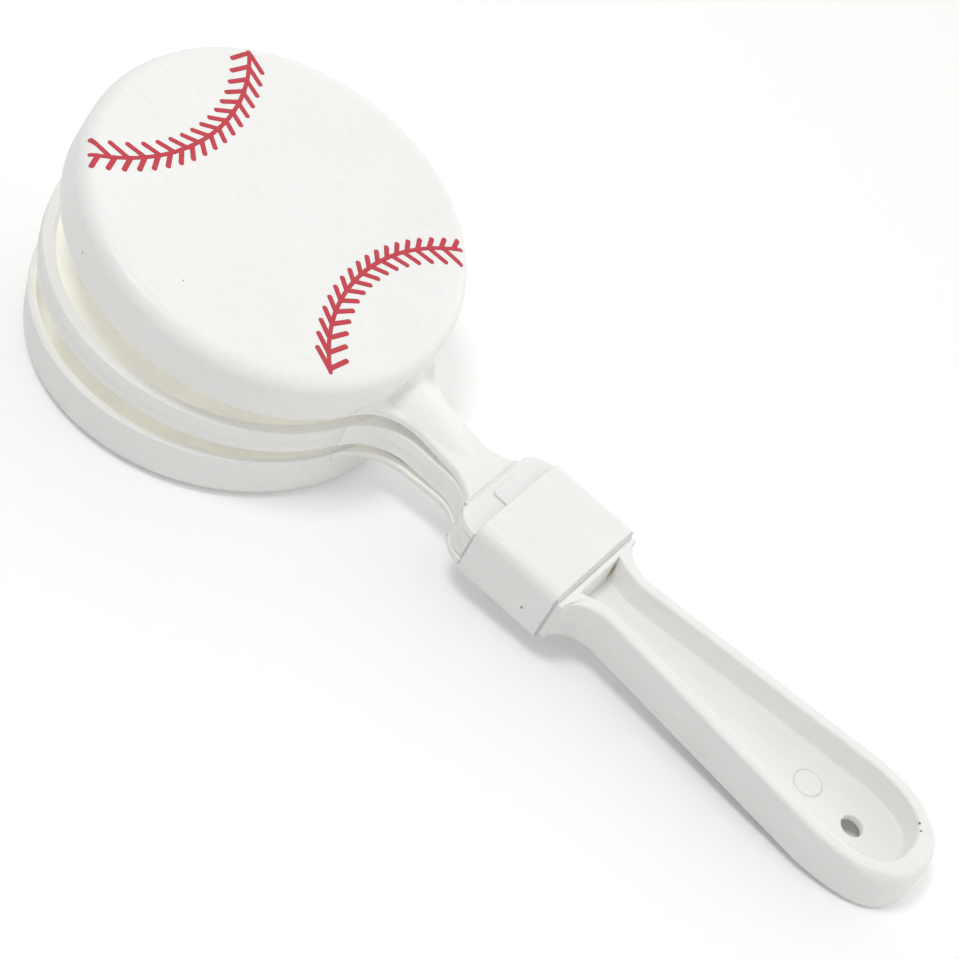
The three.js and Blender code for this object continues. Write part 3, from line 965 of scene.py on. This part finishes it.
def tang_tongue():
    """The tongue: a profile with a soft upper edge, carried round a rounded rectangle
    that stands a little off the middle, and closed at its centre."""
    margin, z = rounded([(-0.03, 1.6, 0), (0.05, tongue_height, 0.28), (3.9, tongue_height, 0)]).T
    outlines = round_rectangles(
        tongue_width - 2 * margin, tongue_length - 2 * margin, np.maximum(1.0 - margin, 0.02)
    )
    rows = np.dstack([outlines + tongue_centre, z[:, None] + 0 * outlines[..., 0]])
    ends = rows[[0, -1]].copy()
    ends[..., :2] = tongue_centre
    return np.concatenate([ends[:1], rows, ends[1:]])


def tang_hollow(points, number):
    """Dust and painted shade, with a painted glow of light, where the tang lies on the core, and a
    little in its groove.
    """
    return np.maximum(0.5 * (points[:, 2] < 0.3), 0.2 * (points[:, 1] > hinge_y - 0.3))


for side_name in ("front", "rear"):
    make_piece(
        side_name + "_tang_moulding", "paddle", [side_name + "_tang"],
        white_plastic, [tang_plate(), tang_tongue()],
        on_core(side_name), {"hollow": tang_hollow},
    )


# Film hinges: each is a strip of the same moulding, thinned in the middle, between the tang and the
# neck plate, drawn bent to the clapper's opening.
film_reach = 0.62
film_bend = 0.3


def film_strip():
    """The film, thinner in the middle, with its two ends inside the tang and the plate:
    its half thickness grows with the eighth power of the distance from the middle."""
    part = np.linspace(-1, 1, 13)
    half_thickness = film_half - 0.03 + 0.2 * part**8
    stations = np.column_stack([0 * part + hinge_half - 0.1, hinge_y + film_reach * part, 0 * part])
    return bar(stations, film_height - half_thickness, film_height + half_thickness, 0.1)


def on_film(side):
    """Gives the way from the film's own frame to the table's: it is bent about the hinge
    line, from straight at the tang to the clapper's opening at the plate."""

    def place(points):
        from_hinge = points + (0, -hinge_y, plate_height - hinge_height)
        angle = openings[side] * np.clip(0.5 + from_hinge[:, 1] / (2 * film_bend), 0, 1)
        bent = turned_about_x(from_hinge, angle) + (0, hinge_y, hinge_height)
        return on_table(on_side(bent, side))

    return place


def film_hollow(points, number):
    """A little dust and painted shade, with a painted glow of light, all over the film."""
    return 0.25


for side_name in ("front", "rear"):
    film = make_piece(
        side_name + "_film", None, [side_name + "_hinge_film"],
        white_plastic, [film_strip()],
        on_film(side_name), {"hollow": film_hollow},
    )
    bend_ends = on_film(side_name)(
        np.array([(0, hinge_y + reach, film_height) for reach in (-film_bend, film_bend)])
    )
    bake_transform(film)


# Collar: a separate rectangular sleeve of the same plastic, pushed over the core and both
# tangs. It holds the toy together by its fit. Its long edges are soft.
collar_width = 27.8
collar_height = 14.8
collar_wall = 1.45
collar_corner = 2.3
collar_top = -73.5
collar_bottom = -93.95
collar_middle = -84.0


def collar_sleeve():
    """The sleeve: one profile of wall and ends, carried round a rounded rectangle."""
    margin, y = rounded(
        [
            (collar_wall, collar_middle, 0), (collar_wall, collar_top, 0.25),
            (0.0, collar_top, 0.4), (0.0, collar_bottom, 0.3),
            (collar_wall, collar_bottom, 0.1), (collar_wall, collar_middle, 0),
        ]
    ).T
    outlines = round_rectangles(
        collar_width - 2 * margin, collar_height - 2 * margin, collar_corner - margin, 8
    )
    return np.stack([outlines[..., 0], y[:, None] + 0 * outlines[..., 0], outlines[..., 1]], axis=-1)


def collar_hollow(points, number):
    """Dust and painted shade, with a painted glow of light, on the inside of the sleeve."""
    return 0.7 * (np.abs(points[:, 0]) < 12.6) * (np.abs(points[:, 2]) < 6.1)


make_piece(
    "collar_sleeve", "paddle", ["collar"], white_plastic,
    [collar_sleeve()], on_table, {"hollow": collar_hollow},
)


# Seam print: two curved rows of V stitches in red ink, pad-printed on the front face.
# Each seam is an arc with its apexes towards one end, and runs out over the soft edge.
# Each stroke is sunk into the face by a third of its thickness.
ink_tones = ((0.575, 0.034, 0.06), (0.43, 0.012, 0.025))
edge_start = 38.388
line_half = 0.45
stroke_half = 0.55
stroke_section = ((-1, -0.5), (-1, 0.6), (-0.7, 1), (0, 1), (0.7, 1), (1, 0.6), (1, -0.5), (-1, -0.5))
section_edge = (1, 1, 0.45, 0, 0.45, 1, 1, 1)

# For each seam: radius, distance of its centre from the face's, turn, and where its line
# starts and ends, in degrees. The stitches' angles are cubics of their number, which
# runs from -1 to 1.
seams = {
    "upper_seam": {
        "radius": 35.6, "distance": 56.2, "turn": 93.1, "ends": (44.3, -44.5), "outer_reach": 3.2,
        "inner_feet": (2.7, -37.95, 0.0, -2.8), "inner_tips": (-1.4, -37.1, -1.75, -4.3),
        "outer_feet": (-1.3, -37.8, 2.0, -4.9), "outer_tips": (-4.3, -39.4, -0.1, -0.9),
    },
    "lower_seam": {
        "radius": 34.0, "distance": 54.2, "turn": 276.8, "ends": (44.3, -46.3), "outer_reach": 2.6,
        "inner_feet": (0.6, -38.7, 1.3, -2.3), "inner_tips": (-3.5, -37.4, -0.4, -4.4),
        "outer_feet": (-3.6, -39.9, 3.7, -3.4), "outer_tips": (-6.9, -38.6, 1.5, -1.7),
    },
}


def ink_group():
    """Colour of pad-printed ink: darker at the edge of a stroke, thin in tiny patches."""
    tree = bpy.data.node_groups.new("pad_printed_ink", "ShaderNodeTree")
    tree.interface.new_socket("Color", in_out="OUTPUT", socket_type="NodeSocketColor")
    tree.interface.new_socket("Roughness", in_out="OUTPUT", socket_type="NodeSocketFloat")
    place = add_node(tree, "ShaderNodeTexCoord").outputs["Object"]
    edge = add_node(tree, "ShaderNodeAttribute", settings={"attribute_name": "edge"})
    tone = ramp(tree, edge.outputs["Fac"], [(0.35, ink_tones[0]), (0.95, ink_tones[1])])
    grain = add_node(
        tree, "ShaderNodeTexNoise", links={"Vector": place},
        values={"Scale": 1500.0, "Detail": 3.0, "Roughness": 0.6},
    )
    thin = ramp(tree, grain.outputs["Fac"], [(0.35, 0.9), (0.6, 1.0)])
    mixed = mixed_colour(tree, 1.0, tone.outputs["Color"], thin.outputs["Color"], "MULTIPLY")
    roughness = add_node(
        tree, "ShaderNodeMapRange", links={"Value": grain.outputs["Fac"]},
        values={"To Min": 0.38, "To Max": 0.55},
    )
    add_node(tree, "NodeGroupOutput", links={"Color": mixed, "Roughness": roughness.outputs[0]})
    return tree


red_ink, red_tree, red_shader = new_material("red_ink")
red_skin = add_node(red_tree, "ShaderNodeGroup", settings={"node_tree": ink_group()})
red_tree.links.new(red_skin.outputs["Color"], red_shader.inputs["Base Color"])
red_tree.links.new(red_skin.outputs["Roughness"], red_shader.inputs["Roughness"])


def face_height(x, y):
    """Height of the front clapper's face: flat, then round at its edge like the cup."""
    past = np.clip(np.hypot(x, y) - edge_start, 0, cup_edge * 0.98)
    return cup_depth - cup_edge + np.sqrt(cup_edge**2 - past**2)


def stroke(path, half, lift):
    """A stroke of ink with round ends along a path, laid on the face as a thin closed
    skin: the path's points and its caps, moved aside by each step of the section."""
    along = np.gradient(path, axis=0)
    along /= np.linalg.norm(along, axis=1)[:, None]
    aside = np.column_stack([-along[:, 1], along[:, 0]])
    cap = np.linspace(0, 1, 5)[1:]
    before = path[0] - along[0] * half * cap[::-1, None]
    after = path[-1] + along[-1] * half * cap[:, None]
    centre = np.concatenate([before, path, after])
    round_off = np.sqrt(1 - cap**2)
    width = np.concatenate([round_off[::-1], np.ones(len(path)), round_off])
    sides = np.concatenate([aside[:1].repeat(4, 0), aside, aside[-1:].repeat(4, 0)])
    offset, rise = np.array(stroke_section).T[..., None]
    flat = centre + sides * (offset * half * width)[..., None]
    z = face_height(flat[..., 0], flat[..., 1]) + lift * rise * np.minimum(1, 1.5 * width)
    return np.dstack([flat, z])


def seam_grids(seam):
    """The strokes of one seam: its line and, on each side of it, its stitches, from feet
    on the line to tips beside it. Angles are about the seam's own centre, from the middle
    of the seam towards the end that its apexes point to."""
    turn = math.radians(seam["turn"])
    axis = np.array([math.cos(turn), math.sin(turn)])
    beside = np.array([-axis[1], axis[0]])

    def spots(angle, radius):
        """Points of the face at the given angles and radii about the seam's centre."""
        angle = np.radians(angle)[:, None]
        radius = np.broadcast_to(radius, len(angle))[:, None]
        return axis * seam["distance"] - radius * (axis * np.cos(angle) + beside * np.sin(angle))

    grids = [stroke(spots(np.linspace(*seam["ends"], 60), seam["radius"]), line_half, 0.05)]
    for side, count, lift in (("outer", 18, 0.044), ("inner", 16, 0.038)):
        number = np.linspace(-1, 1, count)
        reach = seam["outer_reach"] if side == "outer" else -3.25 - 0.85 * number**2
        feet = spots(np.polyval(seam[side + "_feet"][::-1], number), seam["radius"])
        tips = spots(np.polyval(seam[side + "_tips"][::-1], number), seam["radius"] + reach)
        for foot, tip in zip(feet, tips):
            length = np.linalg.norm(tip - foot)
            part = np.linspace(0, 1 - stroke_half / length, 8)[:, None]
            grids.append(stroke(foot + (tip - foot) * part, stroke_half, lift))
    return grids


def stroke_edge(points, number):
    """The edge mask of each point of a stroke, by its place in the stroke's section."""
    return np.repeat(section_edge, len(points) // len(section_edge))


for seam_name, seam in seams.items():
    make_piece(
        seam_name + "_ink", "front_flap", [seam_name + "_print"], red_ink,
        seam_grids(seam), on_flap("front"), {"edge": stroke_edge},
    )
